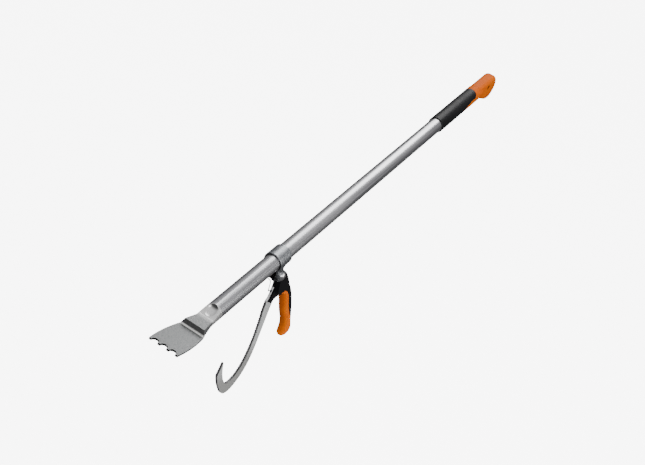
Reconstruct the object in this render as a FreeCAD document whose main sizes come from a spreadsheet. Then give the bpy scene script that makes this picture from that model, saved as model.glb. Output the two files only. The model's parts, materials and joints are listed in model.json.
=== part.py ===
import FreeCAD, Part
import math
import os

import Sketcher
from FreeCAD import Placement, Rotation, Vector

# Felling lever with a turning hook. The origin is the centre of the hang hole in the top handle.
# +X runs along the tube from the chisel blade to the top handle, +Z is up, and the hook hangs down.

SIZES = {
    # round tube
    "tube_od": 30.0,
    "tube_wall": 2.0,
    "tube_front_x": -1002.9,
    "tube_rear_x": -52.0,
    "fit_gap": 0.05,
    # collar and what holds it along the tube
    "collar_x": -825.5,
    "collar_length": 33.0,
    "collar_od": 36.0,
    "collar_round": 1.0,
    "bush_flange_od": 33.8,
    "bush_flange": 1.5,
    "bush_od": 32.2,
    "mouth_depth": 3.2,
    "ring_od": 32.6,
    "ring_width": 1.3,
    "ring_groove_depth": 0.6,
    "ring_play": 0.15,
    # ears of the collar and the hook's pivot
    "pivot_x": -822.0,
    "pivot_drop": 35.5,
    "ear_outer": 14.4,
    "ear_inner": 10.6,
    "ear_round": 10.5,
    "ear_front": 15.5,
    "bolt_d": 10.0,
    "bolt_head_d": 16.0,
    "bolt_head": 4.5,
    "bolt_socket": 5.0,
    "bolt_clearance": 0.1,
    "sleeve_od": 13.0,
    "washer_od": 20.0,
    "washer_thick": 2.0,
    "nut_flats": 16.0,
    "nut_height": 10.0,
    # chisel blade
    "blade_tip_x": -1134.0,
    "foot_x": -1061.0,
    "foot_z": 1.0,
    "blade_angle": 15.0,
    "blade_thick": 3.6,
    "blade_foot_half": 22.8,
    "blade_wide_half": 27.4,
    "blade_tip_half": 26.6,
    "notch_r": 5.7,
    "notch_pitch": 16.4,
    "notch_depth": 7.2,
    "step_top_x": -1056.5,
    "step_top_z": 10.0,
    "step_top_half": 19.4,
    "neck_x": -1031.0,
    "neck_top_z": 4.6,
    "neck_top_half": 13.8,
    "socket_rear_x": -1003.0,
    "spigot_rear_x": -962.0,
    "spigot_od": 25.9,
    "head_pin_d": 6.0,
    "head_pin_x": -978.0,
    # top handle
    "handle_front_x": -238.0,
    "handle_od": 34.4,
    "grip_thick": 1.2,
    "grip_wrap_x": -143.0,
    "grip_rear_x": -69.0,
    "pommel_half": 13.5,
    "pommel_x": 22.0,
    "pommel_z": -12.4,
    "pommel_r": 29.2,
    "pommel_edge": 9.5,
    "notch_x": -44.0,
    "notch_z": -13.0,
    "hang_hole_d": 9.0,
    "hang_hole_chamfer": 1.0,
    "handle_screw_x": -190.0,
    "handle_screw_d": 4.0,
    # hook plate
    "plate_thick": 4.5,
    "eye_r": 12.5,
    "tooth_pitch": 4.7,
    "tooth_depth": 1.9,
    # hook handle
    "arm_half": 5.25,
    "shell_half": 9.8,
    "spring_pocket_r": 10.6,
    "grip_axis_angle": 19.2,
    "shell_screw_d": 4.0,
    # spring
    "wire_d": 1.6,
    "coil_r": 8.2,
}

doc = FreeCAD.newDocument("felling_lever")
sheet = doc.addObject("Spreadsheet::Sheet", "sizes")
for row, (alias, value) in enumerate(SIZES.items(), start=1):
    sheet.set(f"A{row}", alias)
    sheet.set(f"B{row}", str(value))
    sheet.setAlias(f"B{row}", alias)
doc.recompute()

X_AXIS = Vector(1, 0, 0)
Y_AXIS = Vector(0, 1, 0)
Z_AXIS = Vector(0, 0, 1)
SUBPARTS = []


def size(alias):
    """A driving dimension, read back from the sheet."""
    return float(getattr(sheet, alias))


def keep(obj, label):
    obj.Label = label
    SUBPARTS.append(obj)
    return obj


def body(label):
    return keep(doc.addObject("PartDesign::Body", label), label)


def origin_feature(owner, role):
    return next(f for f in owner.Origin.OriginFeatures if f.Role == role)


def sketch_on(owner, role, name):
    sketch = owner.newObject("Sketcher::SketchObject", name)
    sketch.AttachmentSupport = [(origin_feature(owner, role), "")]
    sketch.MapMode = "FlatFace"
    return sketch


def pin_point(sketch, geometry, end, x, y):
    """Tie one end of a sketch element to the place that two expressions give."""
    for kind, text in (("DistanceX", x), ("DistanceY", y)):
        value = float(sketch.evalExpression(text))
        index = sketch.addConstraint(Sketcher.Constraint(kind, -1, 1, geometry, end, value))
        sketch.setExpression(f"Constraints[{index}]", text)


def place_of(sketch, x, y):
    return Vector(float(sketch.evalExpression(x)), float(sketch.evalExpression(y)), 0)


def closed_outline(sketch, path):
    """Draw a closed outline. Each entry is (x, y), the end of a line, or (mid x, mid y, x, y), an arc."""
    ends = [entry[-2:] for entry in path]
    first = len(sketch.Geometry)
    flipped = []
    for index, entry in enumerate(path):
        start = place_of(sketch, *ends[index - 1])
        finish = place_of(sketch, *entry[-2:])
        flipped.append(False)
        if len(entry) == 2:
            sketch.addGeometry(Part.LineSegment(start, finish))
            continue
        middle = place_of(sketch, *entry[:2])
        flipped[index] = (middle - start).cross(finish - middle).z < 0
        if flipped[index]:
            start, finish = finish, start
        sketch.addGeometry(Part.Arc(start, middle, finish))
    for index, entry in enumerate(path):
        geometry = first + index
        finish_end = 1 if flipped[index] else 2
        pin_point(sketch, geometry, finish_end, *entry[-2:])
        pin_point(sketch, geometry, 3 - finish_end, *ends[index - 1])
        if len(entry) == 4:
            on_arc = sketch.addGeometry(Part.Point(place_of(sketch, *entry[:2])), True)
            pin_point(sketch, on_arc, 1, *entry[:2])
            sketch.addConstraint(Sketcher.Constraint("PointOnObject", on_arc, 1, geometry))


def round_hole(sketch, x, y, radius):
    centre = place_of(sketch, x, y)
    value = float(sketch.evalExpression(radius))
    index = sketch.addGeometry(Part.Circle(centre, Vector(0, 0, 1), value))
    pin_point(sketch, index, 3, x, y)
    constraint = sketch.addConstraint(Sketcher.Constraint("Radius", index, value))
    sketch.setExpression(f"Constraints[{constraint}]", radius)


def turned(owner, role, axis, name, path, cut=False):
    """Turn an outline about one of the body's axes, to add or to cut."""
    sketch = sketch_on(owner, role, name + "_outline")
    closed_outline(sketch, path)
    kind = "PartDesign::Groove" if cut else "PartDesign::Revolution"
    feature = owner.newObject(kind, name)
    feature.Profile = sketch
    feature.ReferenceAxis = (origin_feature(owner, axis), [""])
    feature.Angle = 360
    sketch.Visibility = False
    return feature


def raised(owner, role, name, draw, length, cut=False):
    """Pad or pocket a sketch by the same amount on both sides of its plane."""
    sketch = sketch_on(owner, role, name + "_outline")
    draw(sketch)
    feature = owner.newObject("PartDesign::Pocket" if cut else "PartDesign::Pad", name)
    feature.Profile = sketch
    feature.SideType = "Symmetric"
    feature.setExpression("Length", length)
    sketch.Visibility = False
    return feature


def put(obj, x="0", y="0", z="0"):
    """Place a sub-part in the lever's frame."""
    for axis, text in (("x", x), ("y", y), ("z", z)):
        obj.setExpression(f"Placement.Base.{axis}", text)


def solid_feature(label, shape):
    feature = doc.addObject("Part::Feature", label)
    feature.Shape = shape
    return keep(feature, label)


def ring_path(inner, outer, start, end):
    return [(start, inner), (end, inner), (end, outer), (start, outer)]


def x_cylinder(radius, start, end):
    return Part.makeCylinder(radius, end - start, Vector(start, 0, 0), X_AXIS)


def y_cylinder(radius, half_length, x=0.0, z=0.0):
    return Part.makeCylinder(radius, 2 * half_length, Vector(x, -half_length, z), Y_AXIS)


def slab(wire, start_y, end_y):
    """The flat piece between two heights along Y whose outline is a wire in the XZ plane."""
    moved = wire.copy()
    moved.translate(Vector(0, start_y, 0))
    return Part.Face(moved).extrude(Vector(0, end_y - start_y, 0))


def curve(points):
    spline = Part.BSplineCurve()
    spline.interpolate([Vector(x, 0, z) for x, z in points])
    return spline


def line_wire(points):
    """A closed wire of straight lines through (x, z) points."""
    corners = [Vector(x, 0, z) for x, z in points]
    return Part.makePolygon(corners + [corners[0]])


# ---------------------------------------------------------------------------------- shaft

def make_shaft_tube():
    tube = body("shaft_tube")
    turned(tube, "XZ_Plane", "X_Axis", "wall", ring_path(
        "sizes.tube_od / 2 - sizes.tube_wall", "sizes.tube_od / 2",
        "0", "sizes.tube_rear_x - sizes.tube_front_x",
    ))
    for name, side in (("front_groove", "-1"), ("rear_groove", "1")):
        middle = f"sizes.collar_x - sizes.tube_front_x + {side} * ({RING_OFFSET})"
        turned(tube, "XZ_Plane", "X_Axis", name, ring_path(
            "sizes.tube_od / 2 - sizes.ring_groove_depth", "sizes.tube_od / 2 + 1",
            f"{middle} - sizes.ring_width / 2 - 0.03", f"{middle} + sizes.ring_width / 2 + 0.03",
        ), cut=True)
    for name, place, diameter in (
        ("pin_hole", "sizes.head_pin_x", "sizes.head_pin_d"),
        ("screw_hole", "sizes.handle_screw_x", "sizes.handle_screw_d"),
    ):
        sketch = sketch_on(tube, "XY_Plane", name + "_outline")
        round_hole(sketch, f"{place} - sizes.tube_front_x", "0", f"{diameter} / 2")
        hole = tube.newObject("PartDesign::Pocket", name)
        hole.Profile = sketch
        hole.setExpression("Length", "sizes.tube_od")
        sketch.Visibility = False
    put(tube, x="sizes.tube_front_x")


# The snap rings lie against the flanged bushes, at this distance from the collar's middle.
RING_OFFSET = (
    "sizes.collar_length / 2 - sizes.mouth_depth + sizes.bush_flange + sizes.ring_play + sizes.ring_width / 2"
)


def make_snap_ring(label, side):
    """Open spring ring in the tube's groove. Its gap faces up."""
    ring = body(label)
    turned(ring, "XZ_Plane", "X_Axis", "wire", ring_path(
        "sizes.tube_od / 2 - sizes.ring_groove_depth + 0.02", "sizes.ring_od / 2",
        "-sizes.ring_width / 2", "sizes.ring_width / 2",
    ))

    def gap(sketch):
        closed_outline(sketch, [
            ("-3", "sizes.tube_od / 4"), ("3", "sizes.tube_od / 4"),
            ("3", "sizes.tube_od"), ("-3", "sizes.tube_od"),
        ])

    raised(ring, "YZ_Plane", "gap", gap, "4 * sizes.ring_width", cut=True)
    put(ring, x=f"sizes.collar_x + {side} * ({RING_OFFSET})")


# ---------------------------------------------------------------------------- chisel blade

def blade_plate():
    """The tilted plate: curved sides and four points with round notches between them."""
    length = (size("foot_x") - size("blade_tip_x")) / math.cos(math.radians(size("blade_angle")))
    root = 6.0
    half_root = size("blade_foot_half") - 1.8
    half_foot = size("blade_foot_half")
    half_wide = size("blade_wide_half")
    half_tip = size("blade_tip_half")
    wide_at = 0.5 * length

    def side(sign):
        middle = Vector(-wide_at, sign * half_wide, 0)
        return Part.Arc(Vector(0, sign * half_foot, 0), middle, Vector(-length, sign * half_tip, 0))

    edges = [
        Part.LineSegment(Vector(root, -half_root, 0), Vector(0, -half_foot, 0)).toShape(),
        side(-1).toShape(),
        Part.LineSegment(Vector(-length, -half_tip, 0), Vector(-length, half_tip, 0)).toShape(),
        side(1).toShape(),
        Part.LineSegment(Vector(0, half_foot, 0), Vector(root, half_root, 0)).toShape(),
        Part.LineSegment(Vector(root, half_root, 0), Vector(root, -half_root, 0)).toShape(),
    ]
    thick = size("blade_thick")
    plate = Part.Face(Part.Wire(Part.__sortEdges__(edges))).extrude(Vector(0, 0, -thick))
    radius = size("notch_r")
    depth = size("notch_depth")
    for number in (-1, 0, 1):
        y = number * size("notch_pitch")
        bottom = -length + depth - radius
        round_end = Part.makeCylinder(radius, 2 * thick, Vector(bottom, y, -1.5 * thick))
        mouth = Part.makeBox(depth, 2 * radius, 2 * thick, Vector(bottom - depth, y - radius, -1.5 * thick))
        plate = plate.cut(round_end.fuse(mouth))
    plate.rotate(Vector(0, 0, 0), Y_AXIS, size("blade_angle"))
    plate.translate(Vector(size("foot_x"), 0, size("foot_z")))
    return plate


def ruled_body(sections):
    wires = [Part.makePolygon([Vector(x, y, z) for y, z in ring + [ring[0]]]) for x, ring in sections]
    return Part.makeLoft(wires, True, True)


def mirrored_ring(half):
    """A closed section from its +Y half, given from the top to the bottom."""
    return half + [(-y, z) for y, z in reversed(half)]


def make_blade_head():
    foot_x, step_x, neck_x = size("foot_x"), size("step_top_x"), size("neck_x")
    front_bottom = size("foot_z") - size("blade_thick") - 1.5
    front = mirrored_ring([
        (size("step_top_half"), size("step_top_z") + 1), (size("blade_foot_half"), size("foot_z")),
        (size("blade_foot_half") - 1.5, front_bottom), (10, front_bottom - 2),
    ])
    middle = mirrored_ring([
        (size("neck_top_half"), size("neck_top_z")), (15.2, -2), (13.2, -9.2), (6, -15.0),
    ])
    rear = mirrored_ring([(11.2, 4.2), (14.5, -2), (11.6, -8.8), (5.6, -13.4)])
    wedge = ruled_body([(foot_x, front), (neck_x, middle), (neck_x + 14, rear)])
    # the inclined front face of the step
    step_run, step_rise = step_x - foot_x, size("step_top_z") - size("foot_z")
    slope = math.degrees(math.atan2(step_run, step_rise))
    front_cut = Part.makeBox(30, 80, 60, Vector(-30, -40, 0))
    front_cut.rotate(Vector(0, 0, 0), Y_AXIS, slope)
    front_cut.translate(Vector(foot_x, 0, size("foot_z")))
    wedge = wedge.cut(front_cut)
    # round socket, as thick as the tube that butts against it, hollowed on top by a scoop and a round dent
    socket = x_cylinder(size("tube_od") / 2, neck_x - 3, size("socket_rear_x"))
    scoop_r, dent_r = 34.0, 19.0
    scoop = y_cylinder(scoop_r, 30, neck_x + 2, size("neck_top_z") + scoop_r - 0.3)
    dent = Part.makeSphere(dent_r, Vector(neck_x + 10, 0, size("neck_top_z") + dent_r - 0.3))
    flat = Part.makeBox(30, 60, 30, Vector(neck_x - 28, -30, size("neck_top_z") - 0.3))
    socket = socket.cut(scoop).cut(dent).cut(flat)
    front_ball = Part.makeSphere(40, Vector(neck_x + 36.2, 0, 0))
    socket = socket.common(front_ball)
    head = wedge.fuse([socket, blade_plate()])
    spigot = x_cylinder(size("spigot_od") / 2, size("socket_rear_x") - 0.2, size("spigot_rear_x"))
    head = head.fuse(spigot)
    pin_hole = Part.makeCylinder(
        size("head_pin_d") / 2, size("tube_od"), Vector(size("head_pin_x"), 0, -size("tube_od")), Z_AXIS
    )
    head = head.cut(pin_hole).removeSplitter()
    solid_feature("blade_head", head)


def make_head_pin():
    """Rolled spring pin, driven up from below through the tube into the head's spigot."""
    pin = body("head_pin")
    turned(pin, "XZ_Plane", "Z_Axis", "shell", [
        ("sizes.head_pin_d / 2 - 1.2", "-sizes.tube_od / 2"),
        ("sizes.head_pin_d / 2 - 0.4", "-sizes.tube_od / 2"),
        ("sizes.head_pin_d / 2 - 0.02", "-sizes.tube_od / 2 + 1"),
        ("sizes.head_pin_d / 2 - 0.02", "-1"),
        ("sizes.head_pin_d / 2 - 0.4", "-0.1"),
        ("sizes.head_pin_d / 2 - 1.2", "-0.1"),
    ])

    def slit(sketch):
        closed_outline(sketch, [
            ("0", "-sizes.tube_od"), ("sizes.head_pin_d", "-sizes.tube_od"),
            ("sizes.head_pin_d", "1"), ("0", "1"),
        ])

    raised(pin, "XZ_Plane", "slit", slit, "0.8", cut=True)
    put(pin, x="sizes.head_pin_x")


# ------------------------------------------------------------------------------ top handle

def handle_zone():
    """The part of the handle's outer layer that is orange: all that lies behind and below the black grip."""
    radius = size("handle_od") / 2
    wrap, rear = size("grip_wrap_x"), size("grip_rear_x")
    lower = curve([
        (wrap - 26, -radius - 4), (wrap - 12, -0.78 * radius), (wrap + 12, -0.18 * radius),
        (wrap + 38, 0.26 * radius), (rear - 14, 0.36 * radius),
    ])
    corner = Part.Arc(
        Vector(rear - 14, 0, 0.36 * radius), Vector(rear - 3.2, 0, 0.62 * radius), Vector(rear, 0, radius + 4)
    )
    far = size("pommel_x") + 2 * size("pommel_r")
    top_end = corner.EndPoint
    start = lower.StartPoint
    edges = [
        lower.toShape(), corner.toShape(),
        Part.makeLine(top_end, Vector(far, 0, top_end.z)),
        Part.makeLine(Vector(far, 0, top_end.z), Vector(far, 0, start.z)),
        Part.makeLine(Vector(far, 0, start.z), start),
    ]
    return slab(Part.Wire(Part.__sortEdges__(edges)), -2 * radius, 2 * radius)


def make_top_handle():
    radius = size("handle_od") / 2
    under = radius - size("grip_thick")
    inner = size("tube_od") / 2 + size("fit_gap")
    front, rear = size("handle_front_x"), size("tube_rear_x")
    core = x_cylinder(under, front + 1.5, size("grip_rear_x") + 5)
    layer = x_cylinder(radius, front, size("notch_x") - 6).common(handle_zone())
    shoulder = Part.makeCone(radius, size("pommel_half") - 0.5, 46, Vector(size("notch_x") - 6, 0, 0), X_AXIS)
    # pommel: flat sides, a round end, and an underside that slopes down from the notch
    top = radius
    x, z, r = size("pommel_x"), size("pommel_z"), size("pommel_r")
    low_angle = math.radians(243.0)
    low = Vector(x + r * math.cos(low_angle), 0, z + r * math.sin(low_angle))
    notch = Vector(size("notch_x"), 0, size("notch_z"))
    crown = Vector(x, 0, z + r)
    rear_point = Vector(x + r, 0, z)
    front_top = Vector(size("notch_x") - 6, 0, top - 0.6)
    edges = [
        Part.makeLine(front_top, crown),
        Part.Arc(crown, rear_point, low).toShape(),
        Part.makeLine(low, notch),
        Part.makeLine(notch, Vector(size("notch_x") - 6, 0, -6)),
        Part.makeLine(Vector(size("notch_x") - 6, 0, -6), front_top),
    ]
    wire = Part.Wire(Part.__sortEdges__(edges))
    half = size("pommel_half")
    pommel = slab(wire, -half, half)
    rim = [
        edge for edge in pommel.Edges
        if abs(abs(edge.CenterOfMass.y) - half) < 1e-6 and edge.BoundBox.XMax > size("notch_x")
    ]
    pommel = pommel.makeFillet(size("pommel_edge"), rim)
    handle = core.fuse([layer, shoulder, pommel])
    handle = handle.cut(x_cylinder(inner, front - 1, rear + 0.3))
    handle = handle.cut(y_cylinder(size("hang_hole_d") / 2, half + 1))
    for sign in (-1, 1):
        chamfer = size("hang_hole_chamfer")
        hole_r = size("hang_hole_d") / 2
        sink = Part.makeCone(
            hole_r + chamfer, hole_r, chamfer, Vector(0, sign * half, 0), Vector(0, -sign, 0)
        )
        handle = handle.cut(sink)
    screw_x, screw_r = size("handle_screw_x"), size("handle_screw_d") / 2
    hole = Part.makeCylinder(screw_r + 0.02, radius, Vector(screw_x, 0, -radius - 1), Z_AXIS)
    solid_feature("top_handle", handle.cut(hole).removeSplitter())


def make_top_grip():
    radius = size("handle_od") / 2
    under = radius - size("grip_thick")
    front = size("handle_front_x")
    lip = 1.5
    ring = x_cylinder(radius, front, size("grip_rear_x") + 4).cut(x_cylinder(under, front + lip, 0))
    ring = ring.cut(x_cylinder(size("tube_od") / 2 + size("fit_gap"), front - 1, front + 5))
    bevel = Part.makeCone(radius - 1.6, radius, 1.6, Vector(front, 0, 0), X_AXIS)
    front_block = x_cylinder(radius + 1, front, front + 1.6).cut(bevel)
    ring = ring.cut(front_block).cut(handle_zone())
    screw_x, head_r = size("handle_screw_x"), size("handle_screw_d") * 1.05
    hole = Part.makeCylinder(head_r, radius, Vector(screw_x, 0, -radius - 1), Z_AXIS)
    solid_feature("top_grip", ring.cut(hole).removeSplitter())


def make_top_handle_screw():
    """Flat headed screw from below, through the handle's wall into the tube's wall."""
    screw = body("top_handle_screw")
    head_top = "-(sizes.handle_od / 2 - sizes.grip_thick)"
    turned(screw, "XZ_Plane", "Z_Axis", "shank", [
        ("0", f"{head_top} - 1.4"), ("sizes.handle_screw_d - 0.6", f"{head_top} - 1.4"),
        ("sizes.handle_screw_d", f"{head_top} - 1"), ("sizes.handle_screw_d", f"{head_top} - 0.02"),
        ("sizes.handle_screw_d / 2", f"{head_top} - 0.02"),
        ("sizes.handle_screw_d / 2", "-sizes.tube_od / 2 + sizes.tube_wall + 1"),
        ("sizes.handle_screw_d / 2 - 1", "-sizes.tube_od / 2 + sizes.tube_wall + 2.5"),
        ("0", "-sizes.tube_od / 2 + sizes.tube_wall + 2.5"),
    ])

    sketch = sketch_on(screw, "XY_Plane", "slot_outline")
    closed_outline(sketch, [("-2.2", "-0.5"), ("2.2", "-0.5"), ("2.2", "0.5"), ("-2.2", "0.5")])
    sketch.setExpression("AttachmentOffset.Base.z", f"{head_top} - 1.4")
    slot = screw.newObject("PartDesign::Pocket", "slot")
    slot.Profile = sketch
    slot.Reversed = True
    slot.Length = 0.8
    sketch.Visibility = False
    put(screw, x="sizes.handle_screw_x")


# ----------------------------------------------------------------------------------- collar

def make_collar():
    collar = body("collar")
    half = "sizes.collar_length / 2"
    reach = "sizes.pivot_drop"
    pivot = "sizes.pivot_x - sizes.collar_x"

    def ears(sketch):
        front = "-sizes.ear_front"
        radius = "sizes.ear_round"
        closed_outline(sketch, [
            (front, "0"),
            (front, "-15"),
            (f"{pivot} - 0.86 * {radius}", f"-{reach} - 0.51 * {radius}"),
            (pivot, f"-{reach} - {radius}", f"{pivot} + {radius}", f"-{reach}"),
            (f"{pivot} + 0.86 * {radius}", f"-{reach} + 0.51 * {radius}",
             pivot, f"-{reach} + {radius}"),
            ("2.2", "-20.5"),
            ("4.0", "-14.9", "9", "-11.5"),
            ("13.5", "-8"),
            ("13.5", "0"),
        ])

    raised(collar, "XZ_Plane", "ears", ears, "2 * sizes.ear_outer")

    def between(sketch):
        closed_outline(sketch, [
            ("-sizes.ear_inner", f"-{reach} - 20"), ("sizes.ear_inner", f"-{reach} - 20"),
            ("sizes.ear_inner", "1"), ("-sizes.ear_inner", "1"),
        ])

    raised(collar, "YZ_Plane", "between_ears", between, "2 * sizes.collar_length", cut=True)
    edge = "sizes.collar_round"
    outer = "sizes.collar_od / 2"
    turned(collar, "XZ_Plane", "X_Axis", "ring", [
        (f"-{half}", "sizes.tube_od / 2"), (half, "sizes.tube_od / 2"), (half, f"{outer} - {edge}"),
        (f"{half} - 0.29 * {edge}", f"{outer} - 0.29 * {edge}", f"{half} - {edge}", outer),
        (f"-{half} + {edge}", outer),
        (f"-{half} + 0.29 * {edge}", f"{outer} - 0.29 * {edge}", f"-{half}", f"{outer} - {edge}"),
    ])
    flange = "sizes.bush_flange_od / 2 + 0.05"
    turned(collar, "XZ_Plane", "X_Axis", "bore", ring_path(
        "0", "sizes.bush_od / 2 + sizes.fit_gap", f"-{half} - 1", f"{half} + 1"
    ), cut=True)
    for name, sign in (("front_mouth", "-1"), ("rear_mouth", "1")):
        turned(collar, "XZ_Plane", "X_Axis", name, ring_path(
            "0", flange, f"{sign} * ({half} - sizes.mouth_depth)", f"{sign} * ({half} + 1)"
        ), cut=True)

    def pivot_hole(sketch):
        round_hole(sketch, pivot, f"-{reach}", "sizes.bolt_d / 2 + sizes.fit_gap")

    raised(collar, "XZ_Plane", "pivot_hole", pivot_hole, "4 * sizes.ear_outer", cut=True)
    put(collar, x="sizes.collar_x")


def make_bush(label, side):
    """Flanged plastic bush, half of the collar's bore long, pressed in from one end."""
    bush = body(label)
    inner = "sizes.tube_od / 2 + sizes.fit_gap"
    face = "sizes.collar_length / 2 - sizes.mouth_depth"
    turned(bush, "XZ_Plane", "X_Axis", "wall", [
        (f"{side} * 0.15", inner), (f"{side} * ({face} + sizes.bush_flange)", inner),
        (f"{side} * ({face} + sizes.bush_flange)", "sizes.bush_flange_od / 2"),
        (f"{side} * ({face} + 0.02)", "sizes.bush_flange_od / 2"),
        (f"{side} * ({face} + 0.02)", "sizes.bush_od / 2"), (f"{side} * 0.15", "sizes.bush_od / 2"),
    ])
    put(bush, x="sizes.collar_x")


def at_pivot(obj):
    put(obj, x="sizes.pivot_x", z="-sizes.pivot_drop")


def make_pivot_bolt():
    bolt = body("pivot_bolt")
    radius = "sizes.bolt_d / 2"
    head = "sizes.bolt_head_d / 2"
    face = "-sizes.ear_outer - 0.02"
    end = "sizes.ear_outer + sizes.washer_thick + sizes.nut_height + 1.5"
    turned(bolt, "XY_Plane", "Y_Axis", "shank", [
        ("0", f"{face} - sizes.bolt_head"),
        ("sizes.bolt_socket / 2 + 1.2", f"{face} - sizes.bolt_head"),
        (f"0.82 * {head}", f"{face} - 0.7 * sizes.bolt_head", head, f"{face} - 0.22 * sizes.bolt_head"),
        (head, face), (radius, face), (radius, f"{end} - 1"), (f"{radius} - 1", end), ("0", end),
    ])
    sketch = sketch_on(bolt, "XZ_Plane", "socket_outline")
    across = "sizes.bolt_socket / 1.7320508"
    corners = [(f"{across} * cos({60 * n})", f"{across} * sin({60 * n})") for n in range(6)]
    closed_outline(sketch, corners)
    sketch.setExpression("AttachmentOffset.Base.z", "sizes.ear_outer + sizes.bolt_head + 0.02")
    socket = bolt.newObject("PartDesign::Pocket", "socket")
    socket.Profile = sketch
    socket.Length = 2.8
    sketch.Visibility = False
    at_pivot(bolt)


def make_pivot_washer():
    washer = body("pivot_washer")
    turned(washer, "XY_Plane", "Y_Axis", "disc", [
        ("sizes.bolt_d / 2 + 0.1", "sizes.ear_outer + 0.02"),
        ("sizes.washer_od / 2", "sizes.ear_outer + 0.02"),
        ("sizes.washer_od / 2", "sizes.ear_outer + sizes.washer_thick"),
        ("sizes.bolt_d / 2 + 0.1", "sizes.ear_outer + sizes.washer_thick"),
    ])
    at_pivot(washer)


def make_pivot_nut():
    """Hexagon lock nut with a round collar at its end."""
    nut = body("pivot_nut")
    sketch = sketch_on(nut, "XZ_Plane", "hexagon_outline")
    across = "sizes.nut_flats / 1.7320508"
    closed_outline(sketch, [(f"{across} * cos({60 * n})", f"{across} * sin({60 * n})") for n in range(6)])
    round_hole(sketch, "0", "0", "sizes.bolt_d / 2 + 0.02")
    sketch.setExpression("AttachmentOffset.Base.z", "-(sizes.ear_outer + sizes.washer_thick + 0.02)")
    block = nut.newObject("PartDesign::Pad", "hexagon")
    block.Profile = sketch
    block.Reversed = True
    block.setExpression("Length", "0.75 * sizes.nut_height")
    sketch.Visibility = False
    face = "sizes.ear_outer + sizes.washer_thick"
    turned(nut, "XY_Plane", "Y_Axis", "lock_ring", [
        ("sizes.bolt_d / 2 + 0.02", f"{face} + 0.5 * sizes.nut_height"),
        ("0.45 * sizes.nut_flats", f"{face} + 0.5 * sizes.nut_height"),
        ("0.45 * sizes.nut_flats", f"{face} + 0.92 * sizes.nut_height"),
        ("0.4 * sizes.nut_flats", f"{face} + sizes.nut_height"),
        ("sizes.bolt_d / 2 + 0.02", f"{face} + sizes.nut_height"),
    ])
    at_pivot(nut)


def make_pivot_sleeve():
    sleeve = body("pivot_sleeve")
    turned(sleeve, "XY_Plane", "Y_Axis", "wall", [
        ("sizes.bolt_d / 2 + 0.04", "-sizes.ear_inner + 0.02"),
        ("sizes.sleeve_od / 2", "-sizes.ear_inner + 0.02"),
        ("sizes.sleeve_od / 2", "sizes.ear_inner - 0.02"),
        ("sizes.bolt_d / 2 + 0.04", "sizes.ear_inner - 0.02"),
    ])
    at_pivot(sleeve)


def make_hook_spring():
    """Double torsion spring: one coil on each side of the hook's eye, a leg on each ear's front edge,
    and a narrow loop between the coils that bears on the front edge of the hook."""
    wire_r, coil_r = size("wire_d") / 2, size("coil_r")
    inner_y = size("arm_half") + 0.25 + wire_r
    outer_y = size("ear_inner") - 0.3 - wire_r
    loop_half = 2.0
    pieces = []
    for sign in (-1, 1):
        # each coil starts at its front, beside the eye, and runs over the top to its underside
        half_turns = 3
        step = (outer_y - inner_y) / half_turns
        corners = [
            Vector(coil_r * (-1) ** (number + 1), sign * (inner_y + number * step), 0)
            for number in range(half_turns + 1)
        ]
        for number in range(half_turns):
            pieces.append(coil_arc(corners[number], corners[number + 1], (-1) ** number, wire_r))
        start, last = corners[0], corners[-1]
        pieces.append(coil_arc(last, Vector(-last.x, last.y, 0), -1, wire_r, 90))
        finish = Vector(0, last.y, -coil_r)
        beside_eye = Vector(-7.6, sign * inner_y, -13.6)
        shoulder = Vector(-2.2, sign * 3.0, -23.0)
        knee = Vector(-3.9, sign * loop_half, -44.5)
        tip = Vector(1.4, sign * loop_half, -45.5)
        ear_front = Vector(-10.7, sign * outer_y, -4.5)
        ear_hook = Vector(-10.7, sign * (size("ear_inner") + 3.5), -4.5)
        for leg_start, leg_end in (
            (start, beside_eye), (beside_eye, shoulder), (shoulder, knee), (knee, tip),
            (finish, ear_front), (ear_front, ear_hook),
        ):
            pieces += leg(leg_start, leg_end, wire_r)
    bow = Part.makeTorus(loop_half, wire_r, Vector(1.4, 0, -45.5), Z_AXIS)
    pieces.append(bow.common(Part.makeBox(10, 10, 10, Vector(1.4, -5, -50))))
    spring = pieces[0].fuse(pieces[1:]).removeSplitter()
    at_hook(solid_feature("hook_spring", spring))


def coil_arc(start, end, side, wire_r, sweep=180):
    """Wire bent round the coil's axis from one side towards the other, over it (1) or under it (-1)."""
    middle = (start + end) / 2
    outward = start - middle
    arc = Part.makeTorus(outward.Length, wire_r, Vector(0, 0, 0), Z_AXIS, -180, 180, sweep)
    rise = Z_AXIS * side
    arc.Placement = Placement(middle, Rotation(outward, rise, outward.cross(rise), "XYZ"))
    return arc


def leg(start, end, radius):
    """A straight piece of wire, with a ball at its start that covers the bend there."""
    run = end - start
    return [Part.makeCylinder(radius, run.Length, start, run), Part.makeSphere(1.05 * radius, start)]


# ------------------------------------------------------------------------------------- hook

# All the hook's outlines are drawn in the XZ plane with the pivot as the origin.
SHOULDER = (-7.5, -64.0)
CLAW_TIP = (-113.5, -137.0)
BEVEL = (-125.8, -162.0)
INNER_BOTTOM = (-88.5, -212.0)


def inner_edge():
    """The hook's inner edge from the shoulder under the handle to the bottom of the throat."""
    below = [(-14.5, -108), (-20.5, -147), (-31.5, -180), (-51, -208), (-72, -217)]
    return curve([SHOULDER, *below, INNER_BOTTOM])


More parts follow.
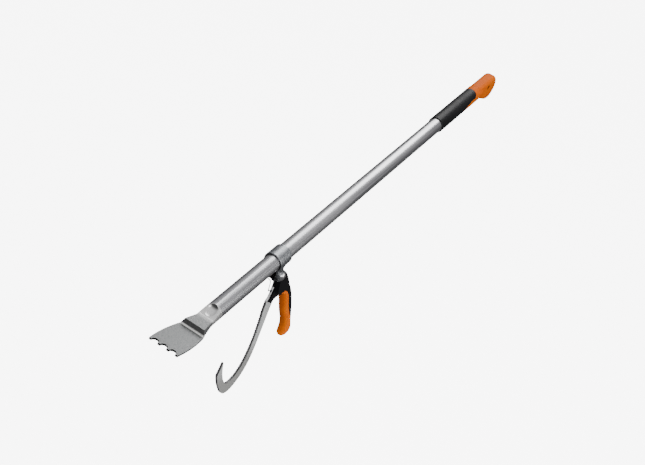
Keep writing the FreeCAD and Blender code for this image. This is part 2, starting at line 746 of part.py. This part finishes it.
def toothed(edge):
    """Teeth cut along the middle stretch of an edge: each has its point on the edge."""
    first_tooth, last_tooth = 32.0, 27.0
    total = edge.length()
    count = round((total - first_tooth - last_tooth) / size("tooth_pitch"))
    pitch = (total - first_tooth - last_tooth) / count
    depth = size("tooth_depth")

    def at(distance, inset):
        parameter = edge.parameterAtDistance(distance, edge.FirstParameter)
        along = edge.tangent(parameter)[0]
        inward = Vector(-along.z, 0, along.x)
        return edge.value(parameter) + inward * inset

    points = []
    for number in range(count):
        start = first_tooth + number * pitch
        points += [at(start, 0), at(start + 0.42 * pitch, depth), at(start + 0.58 * pitch, depth)]
    points.append(at(total - last_tooth, 0))
    before = edge.copy()
    before.segment(edge.FirstParameter, edge.parameterAtDistance(first_tooth, edge.FirstParameter))
    after = edge.copy()
    after.segment(edge.parameterAtDistance(total - last_tooth, edge.FirstParameter), edge.LastParameter)
    teeth = [Part.makeLine(a, b) for a, b in zip(points, points[1:])]
    return [before.toShape()] + teeth + [after.toShape()]


def make_hook_plate():
    eye = size("eye_r")
    claw_inner = curve([INNER_BOTTOM, (-99.5, -194), (-107.5, -172), (-111.8, -152), CLAW_TIP])
    outer = curve([
        BEVEL, (-118.5, -187), (-107.5, -212), (-91, -236.5), (-72, -244.3), (-50, -239), (-30, -224.5),
        (-14.5, -199), (-3.5, -162), (6, -120), (15, -84),
    ])
    front_neck = [(9.8, -34.5), (-2.2, -61.5), SHOULDER]
    eye_front = Vector(-eye, 0, 0)
    eye_low = Vector(eye * math.cos(math.radians(245)), 0, eye * math.sin(math.radians(245)))
    eye_top = Vector(0, 0, eye)
    eye_rear = Vector(eye * math.cos(math.radians(20)), 0, eye * math.sin(math.radians(20)))
    edges = [
        Part.Arc(eye_rear, eye_top, eye_front).toShape(),
        Part.Arc(eye_front, Vector(eye * math.cos(math.radians(212)), 0, eye * math.sin(math.radians(212))),
                 eye_low).toShape(),
        Part.Arc(eye_low, Vector(4.6, 0, -19), Vector(9.8, 0, -34.5)).toShape(),
    ]
    corners = [Vector(x, 0, z) for x, z in front_neck]
    edges += [Part.makeLine(a, b) for a, b in zip(corners, corners[1:])]
    edges += toothed(inner_edge())
    edges.append(claw_inner.toShape())
    edges.append(Part.makeLine(Vector(CLAW_TIP[0], 0, CLAW_TIP[1]), Vector(BEVEL[0], 0, BEVEL[1])))
    edges.append(outer.toShape())
    edges.append(Part.makeLine(Vector(15, 0, -84), Vector(30, 0, -52)))
    edges.append(Part.makeLine(Vector(30, 0, -52), eye_rear))
    wire = Part.Wire(Part.__sortEdges__(edges))
    half = size("plate_thick") / 2
    plate = slab(wire, -half, half)
    plate = plate.cut(y_cylinder(size("sleeve_od") / 2 + size("fit_gap"), half + 1))
    blank = plate
    for x, z in SHELL_SCREWS[:1]:
        plate = plate.cut(y_cylinder(size("shell_screw_d") / 2 + 0.05, half + 1, x, z))
    at_hook(solid_feature("hook_plate", plate))
    return blank


def at_hook(feature):
    feature.Placement = Placement(Vector(size("pivot_x"), 0, -size("pivot_drop")), Rotation())


# ------------------------------------------------------------------------------ hook handle

# The grip is described along its own axis: distance down from GRIP_TOP, and distance towards its rear.
GRIP_TOP = (64.0, -95.5)

# Sections of the grip: distance down its axis, front edge, rear edge, half thickness.
GRIP_SECTIONS = [
    (-28.0, -11.0, 8.5, 10.2),
    (-8.0, -12.0, 12.2, 10.5),
    (15.0, -11.9, 14.2, 10.5),
    (40.0, -12.3, 15.0, 10.2),
    (65.0, -10.9, 14.4, 9.9),
    (82.0, -9.3, 13.2, 9.7),
    (99.0, -10.0, 12.4, 9.8),
    (112.0, -13.4, 12.4, 10.2),
    (120.0, -18.2, 12.8, 10.4),
    (124.5, -20.0, 12.6, 10.1),
]
GRIP_END = [(128.5, -14.5, 11.4, 8.6), (131.0, -7.0, 7.5, 5.0)]

# Places of the three screws that hold the two shells together, all in the web of the handle.
SHELL_SCREWS = [(20.0, -30.0), (36.0, -44.0), (50.0, -64.0)]


def grip_frame(along, across):
    angle = math.radians(size("grip_axis_angle"))
    x = GRIP_TOP[0] + along * math.sin(angle) + across * math.cos(angle)
    z = GRIP_TOP[1] - along * math.cos(angle) + across * math.sin(angle)
    return (x, z)


def grip_section(along, front, rear, half_thick):
    """Closed oval across the grip, a little squarer than an ellipse."""
    middle, depth = (front + rear) / 2, (rear - front) / 2
    power = 0.88
    points = []
    for step in range(16):
        turn = math.radians(step * 22.5)
        across = middle + depth * math.copysign(abs(math.cos(turn)) ** power, math.cos(turn))
        y = half_thick * math.copysign(abs(math.sin(turn)) ** power, math.sin(turn))
        x, z = grip_frame(along, across)
        points.append(Vector(x, y, z))
    spline = Part.BSplineCurve()
    spline.interpolate(points, PeriodicFlag=True)
    return Part.Wire(spline.toShape())


def grip_solid(inset, sections):
    rings = [
        grip_section(along, front + inset, rear - inset, half - inset)
        for along, front, rear, half in sections
    ]
    return Part.makeLoft(rings, True, False)


def sleeve_zone():
    """The stretch of the handle that the soft sleeve covers, as seen from the side. Behind its curved rear
    edge the hard shells stay bare down to a point."""
    top, end = (57.0, -84.8), grip_frame(92, 15.0)
    head = curve([(16, -74), (22, -68.5), (33.4, -64.8), (44.1, -68.4), (51, -75.2), top])
    spine = curve([top, grip_frame(20, -2.2), grip_frame(50, -0.8), grip_frame(72, 3.0), end])
    outside = [end, grip_frame(92, 40), grip_frame(180, 40), grip_frame(180, -60), (16, -74)]
    corners = [Vector(x, 0, z) for x, z in outside]
    edges = [head.toShape(), spine.toShape()] + [Part.makeLine(a, b) for a, b in zip(corners, corners[1:])]
    return slab(Part.Wire(Part.__sortEdges__(edges)), -30, 30)


def left_bevel():
    """What the left shell leaves free: its front is bevelled back from the plate's edge."""
    near_plate = [(7, -26), (9.9, -34.5), (-1.9, -62), (-4, -72), (-4, -120), (-60, -120), (-60, -26)]
    outside = [(7, -26), (37.3, -60.2), (46, -78.8), (48, -90), (48, -120), (-60, -120), (-60, -26)]
    wires = []
    for y, points in ((size("plate_thick") / 2, near_plate), (size("shell_half") + 0.5, outside)):
        wire = line_wire(points)
        wire.translate(Y_AXIS * y)
        wires.append(wire)
    return Part.makeLoft(wires, True, True)


def web_solid():
    """The thick head of the handle: chamfered along the front, well rounded along the rear."""
    half = size("shell_half")
    front = curve([(3.5, -14.0), (7.0, -36), (13.0, -60), (25.5, -69.5), (45, -76)])
    rear = curve([
        (10, 1), (18, -4), (28.7, -12.5), (40.9, -28), (49.3, -43), (58.2, -60.5), (66.5, -78), (72, -92)
    ])
    edges = [
        front.toShape(),
        Part.makeLine(Vector(45, 0, -76), Vector(56, 0, -84)),
        Part.makeLine(Vector(56, 0, -84), Vector(72, 0, -92)),
        rear.toShape(),
        Part.makeLine(Vector(10, 0, 1), Vector(3.5, 0, -14)),
    ]
    web = slab(Part.Wire(Part.__sortEdges__(edges)), -half, half)

    def long_edges(curve_shape):
        middle = curve_shape.valueAt((curve_shape.FirstParameter + curve_shape.LastParameter) / 2)
        return [
            edge for edge in web.Edges
            if abs(abs(edge.CenterOfMass.y) - half) < 1e-6 and edge.distToShape(Part.Vertex(
                Vector(middle.x, edge.CenterOfMass.y, middle.z)))[0] < 1e-3
        ]

    web = web.makeFillet(6.5, long_edges(rear.toShape()))
    web = web.makeChamfer(4.8, long_edges(front.toShape()))
    return web


def cladding_solid():
    """The thin plastic skins on both sides of the hook's arm, and the thin part of the web."""
    half = size("arm_half")
    eye = size("eye_r")
    edges = [
        Part.Arc(Vector(-5.0, 0, -eye), Vector(5.2, 0, -18.6), Vector(10.4, 0, -34.5)).toShape(),
        curve([(4.5, -74.8), (11, -71), (20, -70.2), (29, -72.4), (46, -80.5)]).toShape(),
    ]
    front = [(10.4, -34.5), (-1.6, -61.6), (-6.0, -64.2), (4.5, -74.8)]
    back = [(46, -80.5), (46, -60), (14, -5), (-5, -5), (-5.0, -eye)]
    for points in (front, back):
        corners = [Vector(x, 0, z) for x, z in points]
        edges += [Part.makeLine(a, b) for a, b in zip(corners, corners[1:])]
    return slab(Part.Wire(Part.__sortEdges__(edges)), -half, half)


def make_hook_handle(plate):
    half = size("shell_half")
    eye = y_cylinder(13.2, half)
    eye = eye.makeFillet(2.2, [edge for edge in eye.Edges if abs(abs(edge.CenterOfMass.y) - half) < 1e-6])
    core = grip_solid(2.2, GRIP_SECTIONS)
    outer = grip_solid(0.0, GRIP_SECTIONS + GRIP_END).fuse(web_solid()).cut(left_bevel())
    skins = cladding_solid().cut(left_bevel())
    sleeve = biggest(outer.cut([core, skins]).common(sleeve_zone()))
    black = outer.fuse([eye, skins]).cut(sleeve)
    black = black.cut(plate).cut(y_cylinder(size("sleeve_od") / 2 + size("fit_gap"), half + 1))
    # spring pockets: round the eye and open to the front
    pocket_r, wall = size("spring_pocket_r"), size("arm_half") - 0.25
    for sign in (-1, 1):
        pocket = Part.makeCylinder(pocket_r, 20, Vector(0, sign * wall, 0), Vector(0, sign, 0))
        opening = Part.makeBox(22, 20, 34, Vector(-20, min(sign * wall, sign * (wall + 20)), -17))
        black = black.cut(pocket).cut(opening)
    screw_r, head_r, head = size("shell_screw_d") / 2, size("shell_screw_d") * 0.95, 1.8
    screws = []
    for x, z in SHELL_SCREWS:
        black = black.cut(Part.makeCylinder(screw_r + 0.02, 2 * half - 3.0, Vector(x, half, z), -Y_AXIS))
        black = black.cut(Part.makeCylinder(head_r + 0.1, head + 1, Vector(x, half - head, z), Y_AXIS))
        shank = Part.makeCylinder(screw_r, 2 * half - 3.6, Vector(x, half - 0.3, z), -Y_AXIS)
        top = Part.makeCylinder(head_r, head - 0.32, Vector(x, half - head + 0.02, z), Y_AXIS)
        recess = Part.makeBox(4.4, 1.0, 0.9, Vector(x - 2.2, half - 1.0, z - 0.45))
        cross = Part.makeBox(0.9, 1.0, 4.4, Vector(x - 0.45, half - 1.0, z - 2.2))
        screws.append(shank.fuse(top).cut(recess).cut(cross).removeSplitter())
    for label, start_y in (("handle_shell_right", -40.0), ("handle_shell_left", 0.0)):
        side = Part.makeBox(400, 40, 500, Vector(-200, start_y, -400))
        at_hook(solid_feature(label, biggest(black.common(side))))
    at_hook(solid_feature("grip_sleeve", sleeve))
    at_hook(solid_feature("shell_screws", Part.makeCompound(screws)))


def biggest(shape):
    """The largest solid of a shape, without the crumbs a boolean may leave."""
    return max(shape.Solids, key=lambda solid: solid.Volume)


def main():
    make_shaft_tube()
    make_blade_head()
    make_head_pin()
    make_snap_ring("front_snap_ring", "-1")
    make_snap_ring("rear_snap_ring", "1")
    make_top_handle()
    make_top_grip()
    make_top_handle_screw()
    make_collar()
    make_bush("front_bush", "-1")
    make_bush("rear_bush", "1")
    make_pivot_bolt()
    make_pivot_washer()
    make_pivot_nut()
    make_pivot_sleeve()
    make_hook_spring()
    make_hook_handle(make_hook_plate())


main()
doc.recompute()
for item in doc.Objects:
    if {"Invalid", "Error"} & set(item.State):
        raise RuntimeError(f"{item.Label} has not been computed: {item.State}")
for item in SUBPARTS:
    if item.Shape.isNull() or not item.Shape.isValid():
        raise RuntimeError(f"{item.Label} has no valid shape")
os.makedirs("parts", exist_ok=True)
for item in SUBPARTS:
    item.Shape.exportStep(f"parts/{item.Label}.step")
    print(item.Label, len(item.Shape.Solids), round(item.Shape.Volume), item.Shape.BoundBox)
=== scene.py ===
import json
import math

import bmesh
import bpy
from mathutils import Matrix, Vector


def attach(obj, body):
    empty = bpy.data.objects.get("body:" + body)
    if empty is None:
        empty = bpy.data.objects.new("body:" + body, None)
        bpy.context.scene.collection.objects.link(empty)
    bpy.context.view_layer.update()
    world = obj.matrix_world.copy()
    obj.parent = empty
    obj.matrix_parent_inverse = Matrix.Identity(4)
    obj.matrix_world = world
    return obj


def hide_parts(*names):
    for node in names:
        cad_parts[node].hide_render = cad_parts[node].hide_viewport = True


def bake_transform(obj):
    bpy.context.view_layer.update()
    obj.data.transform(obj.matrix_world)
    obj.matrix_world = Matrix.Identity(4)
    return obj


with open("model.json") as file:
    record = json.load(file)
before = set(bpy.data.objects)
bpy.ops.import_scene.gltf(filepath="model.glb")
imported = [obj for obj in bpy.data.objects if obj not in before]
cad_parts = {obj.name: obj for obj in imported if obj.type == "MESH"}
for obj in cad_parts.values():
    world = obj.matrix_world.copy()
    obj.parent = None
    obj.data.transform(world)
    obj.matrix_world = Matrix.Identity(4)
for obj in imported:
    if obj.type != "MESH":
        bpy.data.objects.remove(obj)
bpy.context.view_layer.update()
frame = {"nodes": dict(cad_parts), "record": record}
NODES = frame["nodes"]
PIVOT = Vector((-0.822, 0.0, -0.0355))

# Places along the tube's axis on the blade head, in metres from the hang hole: the painted highlight line at
# the foot of the step, the start of the painted shade on the step face, the start of the neck's painted
# highlight, where the neck turns smoother, and where the dark tip ends start.
STEP_FOOT_HIGHLIGHT = (-1.0636, -1.0624, -1.0606, -1.0596)
STEP_SHADE_START = (-1.0620, -1.0600)
NECK_HIGHLIGHT_START = (-1.036, -1.020)
NECK_SMOOTH = (-1.036, -1.010)
NOTCH_START = (-1.100, -1.104)
# Heights on the hook: where its edge turns from painted shade to painted highlight, and where its face
# darkens towards the claw.
EDGE_HIGHLIGHT_HEIGHT = (-0.104, -0.098)
CLAW_HEIGHT = (-0.190, -0.235)
# Radius of the painted shade inside the hang hole, and how softly it ends.
HOLE_SHADE_RADIUS = 0.0050
HOLE_SHADE_EDGE = 0.0004


# ------------------------------------------------------------------------------- materials

class Surface:
    """A procedural material: a Principled shader and the nodes that vary it."""

    def __init__(self, name, metallic, roughness, gloss=0.5):
        self.material = bpy.data.materials.new(name)
        self.material.use_nodes = True
        self.tree = self.material.node_tree
        self.shader = self.tree.nodes["Principled BSDF"]
        self.shader.inputs["Metallic"].default_value = metallic
        self.shader.inputs["Roughness"].default_value = roughness
        self.shader.inputs["Specular IOR Level"].default_value = gloss
        self.place = self.node("ShaderNodeTexCoord").outputs["Object"]

    def node(self, kind, **settings):
        made = self.tree.nodes.new(kind)
        for key, value in settings.items():
            setattr(made, key, value)
        return made

    def link(self, source, target):
        self.tree.links.new(source, target)

    def noise(self, scale, stretch=(1, 1, 1), detail=4.0):
        """Grey noise, stretched by a scale along each axis."""
        mapping = self.node("ShaderNodeMapping")
        mapping.inputs["Scale"].default_value = stretch
        self.link(self.place, mapping.inputs["Vector"])
        noise = self.node("ShaderNodeTexNoise")
        noise.inputs["Scale"].default_value = scale
        noise.inputs["Detail"].default_value = detail
        self.link(mapping.outputs["Vector"], noise.inputs["Vector"])
        return noise.outputs["Fac"]

    def between(self, value, low, high, out_low=0.0, out_high=1.0):
        """A value taken smoothly from one range to another."""
        ranged = self.node("ShaderNodeMapRange", interpolation_type="SMOOTHSTEP")
        sockets = ("From Min", "From Max", "To Min", "To Max")
        for socket, number in zip(sockets, (low, high, out_low, out_high)):
            ranged.inputs[socket].default_value = number
        self.link(value, ranged.inputs["Value"])
        return ranged.outputs["Result"]

    def times(self, first, second):
        product = self.node("ShaderNodeMath", operation="MULTIPLY")
        self.link(first, product.inputs[0])
        self.link(second, product.inputs[1])
        return product.outputs[0]

    def mixed(self, share, first, second):
        """A colour between two colours or colour outputs."""
        mix = self.node("ShaderNodeMix", data_type="RGBA")
        self.link(share, mix.inputs["Factor"])
        for socket, colour in ((mix.inputs["A"], first), (mix.inputs["B"], second)):
            if isinstance(colour, tuple):
                socket.default_value = (*colour, 1.0)
            else:
                self.link(colour, socket)
        return mix.outputs["Result"]

    def axis(self, source, name):
        split = self.node("ShaderNodeSeparateXYZ")
        self.link(source, split.inputs["Vector"])
        return split.outputs[name]

    def distance_from_y_axis(self):
        flat = self.node("ShaderNodeVectorMath", operation="MULTIPLY")
        flat.inputs[1].default_value = (1.0, 0.0, 1.0)
        self.link(self.place, flat.inputs[0])
        reach = self.node("ShaderNodeVectorMath", operation="LENGTH")
        self.link(flat.outputs["Vector"], reach.inputs[0])
        return reach.outputs["Value"]

    def normal(self):
        return self.node("ShaderNodeNewGeometry").outputs["Normal"]

    def coloured(self, output):
        self.link(output, self.shader.inputs["Base Color"])
        return self

    def rough(self, grain, low, high):
        self.link(self.between(grain, 0.3, 0.7, low, high), self.shader.inputs["Roughness"])
        return self

    def bumped(self, grain, distance, strength=0.5):
        bump = self.node("ShaderNodeBump")
        bump.inputs["Strength"].default_value = strength
        bump.inputs["Distance"].default_value = distance
        self.link(grain, bump.inputs["Height"])
        self.link(bump.outputs["Normal"], self.shader.inputs["Normal"])
        return self


def plain_metal(name, dark, light, rough_low, rough_high, scale=220.0, stretch=(1, 1, 1)):
    """Bare or plated metal with a fine grain and faint darker patches."""
    surface = Surface(name, 1.0, rough_low)
    grain = surface.noise(scale, stretch)
    stain = surface.noise(9.0)
    shade = surface.mixed(surface.between(grain, 0.35, 0.65), dark, light)
    worn = surface.mixed(surface.between(stain, 0.45, 0.75, 0.0, 0.35), shade, dark)
    return surface.coloured(worn).rough(grain, rough_low, rough_high).bumped(grain, 0.00002)


def moulded(name, dark, light, rough_low, rough_high, grain_scale=900.0, gloss=0.3, with_hole_shade=False):
    """Moulded plastic or rubber with a fine grain and rubbed patches, and painted shade inside the hang
    hole.
    """
    surface = Surface(name, 0.0, rough_low, gloss)
    grain = surface.noise(grain_scale, detail=2.0)
    rubbed = surface.noise(24.0)
    colour = surface.mixed(surface.between(rubbed, 0.35, 0.7), dark, light)
    if with_hole_shade:
        # painted shade: near-black within this radius of the hang hole's axis
        inside = surface.between(surface.distance_from_y_axis(), HOLE_SHADE_RADIUS + HOLE_SHADE_EDGE, HOLE_SHADE_RADIUS)
        colour = surface.mixed(inside, colour, (0.006, 0.004, 0.003))
    return surface.coloured(colour).rough(rubbed, rough_low, rough_high).bumped(grain, 0.00004, 0.35)


def blade_surface():
    """Shot-blasted plate with dark cut ends, painted shade on the step face, a painted highlight line at the
    foot of the step, and a smoother neck painted near-white as a painted highlight.
    """
    surface = Surface("blade_steel", 0.85, 0.45)
    along = surface.axis(surface.place, "X")
    facing = surface.axis(surface.normal(), "X")
    speck = surface.noise(1100.0, detail=2.0)
    plate = surface.mixed(surface.between(speck, 0.35, 0.65), (0.13, 0.135, 0.135), (0.30, 0.305, 0.305))
    # painted shade: a darker copy of the plate colour for the step face
    step = surface.mixed(surface.between(speck, 0.3, 0.7), (0.07, 0.07, 0.07), (0.17, 0.17, 0.17))
    # painted highlight: the neck painted near-white
    neck = surface.mixed(surface.between(speck, 0.3, 0.7), (0.84, 0.83, 0.81), (0.96, 0.95, 0.94))
    neck_highlight_share = surface.between(along, *NECK_HIGHLIGHT_START)
    # where the step face's painted shade goes: faces turned to the front, past the step's start
    step_shade_mask = surface.times(surface.between(facing, -0.55, -0.8), surface.between(along, *STEP_SHADE_START))
    on_end = surface.times(surface.between(facing, -0.05, -0.2), surface.between(along, *NOTCH_START))
    colour = surface.mixed(neck_highlight_share, plate, neck)
    colour = surface.mixed(step_shade_mask, colour, step)
    # painted highlight: a near-white line along the foot of the step
    foot_front, front_full, rear_full, foot_rear = STEP_FOOT_HIGHLIGHT
    foot = surface.times(
        surface.between(along, foot_front, front_full), surface.between(along, foot_rear, rear_full)
    )
    colour = surface.mixed(foot, colour, (0.95, 0.95, 0.93))
    colour = surface.mixed(on_end, colour, (0.01, 0.01, 0.01))
    surface.link(surface.between(along, *NECK_SMOOTH, 0.5, 0.22), surface.shader.inputs["Roughness"])
    return surface.coloured(colour).bumped(speck, 0.00003)


def hook_surface():
    """Plated plate: light faces, darker claw, and edges with painted shade below the shoulder and a painted
    highlight above it.
    """
    surface = Surface("hook_steel", 0.35, 0.42)
    height = surface.axis(surface.place, "Z")
    side = surface.axis(surface.normal(), "Y")
    folded = surface.node("ShaderNodeMath", operation="ABSOLUTE")
    surface.link(side, folded.inputs[0])
    cut_edge = surface.between(folded.outputs[0], 0.6, 0.4)
    speck = surface.noise(700.0, detail=2.0)
    streak = surface.noise(60.0, (1, 1, 0.3))
    face = surface.mixed(surface.between(streak, 0.35, 0.65), (0.78, 0.79, 0.78), (0.92, 0.93, 0.92))
    face = surface.mixed(surface.between(speck, 0.45, 0.8, 0.0, 0.5), face, (0.42, 0.43, 0.42))
    claw = surface.between(height, *CLAW_HEIGHT)
    face = surface.mixed(claw, face, (0.52, 0.52, 0.50))
    above = surface.between(height, *EDGE_HIGHLIGHT_HEIGHT)
    # painted shade (near-black) on the plate's edges below the shoulder, painted highlight (near-white)
    # above it
    edge = surface.mixed(above, (0.12, 0.12, 0.12), (0.98, 0.98, 0.98))
    colour = surface.mixed(cut_edge, face, edge)
    return surface.coloured(colour).rough(speck, 0.35, 0.5).bumped(speck, 0.00003)


SURFACES = {
    "tube_aluminium": plain_metal(
        "tube_aluminium", (0.48, 0.48, 0.495), (0.66, 0.66, 0.675), 0.26, 0.34, 260.0, (0.015, 1, 1)
    ),
    "blade_steel": blade_surface(),
    "pin_steel": plain_metal("pin_steel", (0.40, 0.40, 0.40), (0.55, 0.55, 0.55), 0.35, 0.5),
    "ring_steel": plain_metal("ring_steel", (0.05, 0.05, 0.055), (0.12, 0.12, 0.13), 0.4, 0.55),
    "orange_plastic": moulded(
        "orange_plastic", (0.66, 0.11, 0.0), (0.76, 0.15, 0.0), 0.5, 0.62, gloss=0.06, with_hole_shade=True
    ),
    "black_grip": moulded(
        "black_grip", (0.003, 0.003, 0.0035), (0.006, 0.006, 0.007), 0.42, 0.52, 1400.0, gloss=0.2
    ),
    "screw_steel": plain_metal("screw_steel", (0.05, 0.05, 0.05), (0.11, 0.11, 0.11), 0.4, 0.5),
    "collar_metal": plain_metal("collar_metal", (0.27, 0.285, 0.30), (0.42, 0.43, 0.445), 0.30, 0.42, 320.0),
    "bush_plastic": moulded("bush_plastic", (0.008, 0.008, 0.009), (0.014, 0.014, 0.015), 0.45, 0.6),
    "bolt_steel": plain_metal("bolt_steel", (0.62, 0.62, 0.62), (0.80, 0.80, 0.80), 0.2, 0.32, 400.0),
    "sleeve_bronze": plain_metal("sleeve_bronze", (0.36, 0.25, 0.10), (0.52, 0.38, 0.18), 0.3, 0.45),
    "spring_steel": plain_metal("spring_steel", (0.20, 0.20, 0.205), (0.34, 0.34, 0.35), 0.3, 0.42, 500.0),
    "hook_steel": hook_surface(),
    "black_plastic": moulded(
        "black_plastic", (0.002, 0.002, 0.0025), (0.004, 0.004, 0.005), 0.36, 0.48, gloss=0.15
    ),
    "orange_sleeve": moulded(
        "orange_sleeve", (0.90, 0.16, 0.0), (1.0, 0.21, 0.0), 0.5, 0.65, 1300.0, gloss=0.12
    ),
}


def paint(obj, slot):
    obj.data.materials.clear()
    obj.data.materials.append(SURFACES[slot].material)


for part in frame["record"]["subparts"]:
    paint(NODES[part["node"]], part["material_slot"])


# ------------------------------------------------------------------------- the hook's spring

WIRE_RADIUS = 0.0008
WIRE_SIDES = 14
COIL_RADIUS = 0.0082
COIL_TURNS = 1.75
COIL_POINTS = 70
INNER_Y = 0.0063
OUTER_Y = 0.0095


def bent(points, steps=6):
    """A smooth line through the points."""
    dense = []
    for i in range(len(points) - 1):
        before, start = points[max(i - 1, 0)], points[i]
        end, after = points[i + 1], points[min(i + 2, len(points) - 1)]
        for step in range(steps):
            s = step / steps
            dense.append(0.5 * (
                2 * start + (end - before) * s + (2 * before - 5 * start + 4 * end - after) * s ** 2
                + (3 * start - before - 3 * end + after) * s ** 3
            ))
    return dense + [points[-1]]


def wire_piece(name, line):
    """A round wire along a line of points, closed at both ends."""
    angles = [2 * math.pi * k / WIRE_SIDES for k in range(WIRE_SIDES)]
    mesh = bmesh.new()
    rings = []
    across = None
    for i, point in enumerate(line):
        run = (line[min(i + 1, len(line) - 1)] - line[max(i - 1, 0)]).normalized()
        across = run.orthogonal() if across is None else across - run * across.dot(run)
        across.normalize()
        other = run.cross(across)
        rings.append([
            mesh.verts.new(point + WIRE_RADIUS * (across * math.cos(a) + other * math.sin(a)))
            for a in angles
        ])
    for ring, following in zip(rings, rings[1:]):
        for k in range(WIRE_SIDES):
            after = (k + 1) % WIRE_SIDES
            mesh.faces.new((ring[k], ring[after], following[after], following[k]))
    mesh.faces.new(list(reversed(rings[0])))
    mesh.faces.new(rings[-1])
    for face in mesh.faces:
        face.smooth = True
    data = bpy.data.meshes.new(name)
    mesh.to_mesh(data)
    mesh.free()
    piece = bpy.data.objects.new(name, data)
    bpy.context.scene.collection.objects.link(piece)
    paint(piece, "spring_steel")
    return piece


def coil_line(sign):
    """From the hook's side of the coil, over the top and round to its underside, then to the ear."""
    line = []
    for i in range(COIL_POINTS + 1):
        angle = math.pi - 2 * math.pi * COIL_TURNS * i / COIL_POINTS
        y = sign * (INNER_Y + (OUTER_Y - INNER_Y) * i / COIL_POINTS)
        line.append(PIVOT + Vector((COIL_RADIUS * math.cos(angle), y, COIL_RADIUS * math.sin(angle))))
    out = sign * OUTER_Y
    ends = [
        (-0.0050, out, -0.0068), (-0.0100, out, -0.0048),
        (-0.0107, sign * 0.0108, -0.0045), (-0.0107, sign * 0.0141, -0.0045),
    ]
    return line + bent([line[-1]] + [PIVOT + Vector(end) for end in ends])[1:]


def loop_line():
    """From one coil down to the bow that bears on the hook's front edge, and up to the other coil."""
    half = [
        (-COIL_RADIUS, INNER_Y, 0.0), (-0.0080, INNER_Y, -0.0070), (-0.0076, INNER_Y, -0.0136),
        (-0.0022, 0.0030, -0.0230), (-0.0036, 0.0020, -0.0420), (-0.0030, 0.0020, -0.0444),
        (0.0010, 0.0019, -0.0455), (0.0028, 0.0011, -0.0455),
    ]
    there = [PIVOT + Vector(p) for p in half]
    back = [Vector((p.x, -p.y, p.z)) for p in reversed(there)]
    return bent(there + back)


for side, sign in (("left", 1), ("right", -1)):
    coil = wire_piece(f"spring_coil_{side}", coil_line(sign))
    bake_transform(coil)
    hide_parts("hook_spring")
loop = wire_piece("spring_loop", loop_line())
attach(loop, "hook")
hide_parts("hook_spring")


# ----------------------------------------------------------------------- floor, light, camera

FLOOR_SIZE = 40.0
FLOOR_CENTRE = (0.5, 0.3, -1.6)
CAMERA_PLACE = (-2.06977, -0.57369, 1.17843)
CAMERA_RIGHT = (0.5254, -0.8225, 0.2178)
CAMERA_LOOK = (0.7216, 0.2951, -0.6262)


def add_floor():
    """A plain white floor that shows behind the tool but isn't mirrored in its metal."""
    half = FLOOR_SIZE / 2
    corners = [(-half, -half, 0), (half, -half, 0), (half, half, 0), (-half, half, 0)]
    mesh = bpy.data.meshes.new("floor")
    mesh.from_pydata(corners, [], [(0, 1, 2, 3)])
    floor = bpy.data.objects.new("floor", mesh)
    floor.location = FLOOR_CENTRE
    bpy.context.scene.collection.objects.link(floor)
    material = bpy.data.materials.new("pale_floor")
    material.use_nodes = True
    shader = material.node_tree.nodes["Principled BSDF"]
    shader.inputs["Base Color"].default_value = (0.9, 0.9, 0.9, 1)
    shader.inputs["Roughness"].default_value = 1.0
    shader.inputs["Emission Color"].default_value = (1, 1, 1, 1)
    shader.inputs["Emission Strength"].default_value = 7.0
    floor.data.materials.append(material)
    floor.visible_glossy = False
    floor.visible_diffuse = False


def add_light(name, location, target, size, watts):
    """A square soft light that faces a point."""
    light = bpy.data.lights.new(name, "AREA")
    light.shape = "SQUARE"
    light.size = size
    light.energy = watts
    made = bpy.data.objects.new(name, light)
    made.location = location
    made.rotation_mode = "QUATERNION"
    made.rotation_quaternion = (Vector(target) - Vector(location)).to_track_quat("-Z", "Y")
    bpy.context.scene.collection.objects.link(made)


def add_world():
    """A room that is bright overhead and darker towards the ground."""
    world = bpy.data.worlds.new("studio")
    bpy.context.scene.world = world
    world.use_nodes = True
    tree = world.node_tree
    background = tree.nodes["Background"]
    coords = tree.nodes.new("ShaderNodeTexCoord")
    split = tree.nodes.new("ShaderNodeSeparateXYZ")
    ramp = tree.nodes.new("ShaderNodeValToRGB")
    tree.links.new(coords.outputs["Generated"], split.inputs["Vector"])
    shift = tree.nodes.new("ShaderNodeMapRange")
    shift.inputs["From Min"].default_value = -1.0
    tree.links.new(split.outputs["Z"], shift.inputs["Value"])
    tree.links.new(shift.outputs["Result"], ramp.inputs["Fac"])
    ramp.color_ramp.elements[0].position = 0.45
    ramp.color_ramp.elements[0].color = (0.16, 0.16, 0.165, 1)
    ramp.color_ramp.elements[1].position = 0.95
    ramp.color_ramp.elements[1].color = (0.9, 0.9, 0.92, 1)
    tree.links.new(ramp.outputs["Color"], background.inputs["Color"])
    background.inputs["Strength"].default_value = 0.8


def add_camera():
    right = Vector(CAMERA_RIGHT).normalized()
    look = Vector(CAMERA_LOOK).normalized()
    up = right.cross(look).normalized()
    data = bpy.data.cameras.new("camera")
    data.lens = 60.0
    data.sensor_width = 36.0
    data.sensor_fit = "HORIZONTAL"
    data.clip_end = 100.0
    camera = bpy.data.objects.new("camera", data)
    turn = Matrix((right, up, -look)).transposed().to_4x4()
    camera.matrix_world = Matrix.Translation(CAMERA_PLACE) @ turn
    bpy.context.scene.collection.objects.link(camera)
    bpy.context.scene.camera = camera


add_floor()
add_world()
add_light("key", (1.5, 0.4, 1.5), (-0.5, 0.0, 0.0), 1.6, 45.0)
add_light("side", (-0.4, -1.9, 0.5), (-0.8, 0.0, -0.2), 1.2, 26.0)
add_light("front", (-2.4, -1.2, 1.2), (-0.8, 0.0, -0.2), 1.2, 20.0)
add_camera()
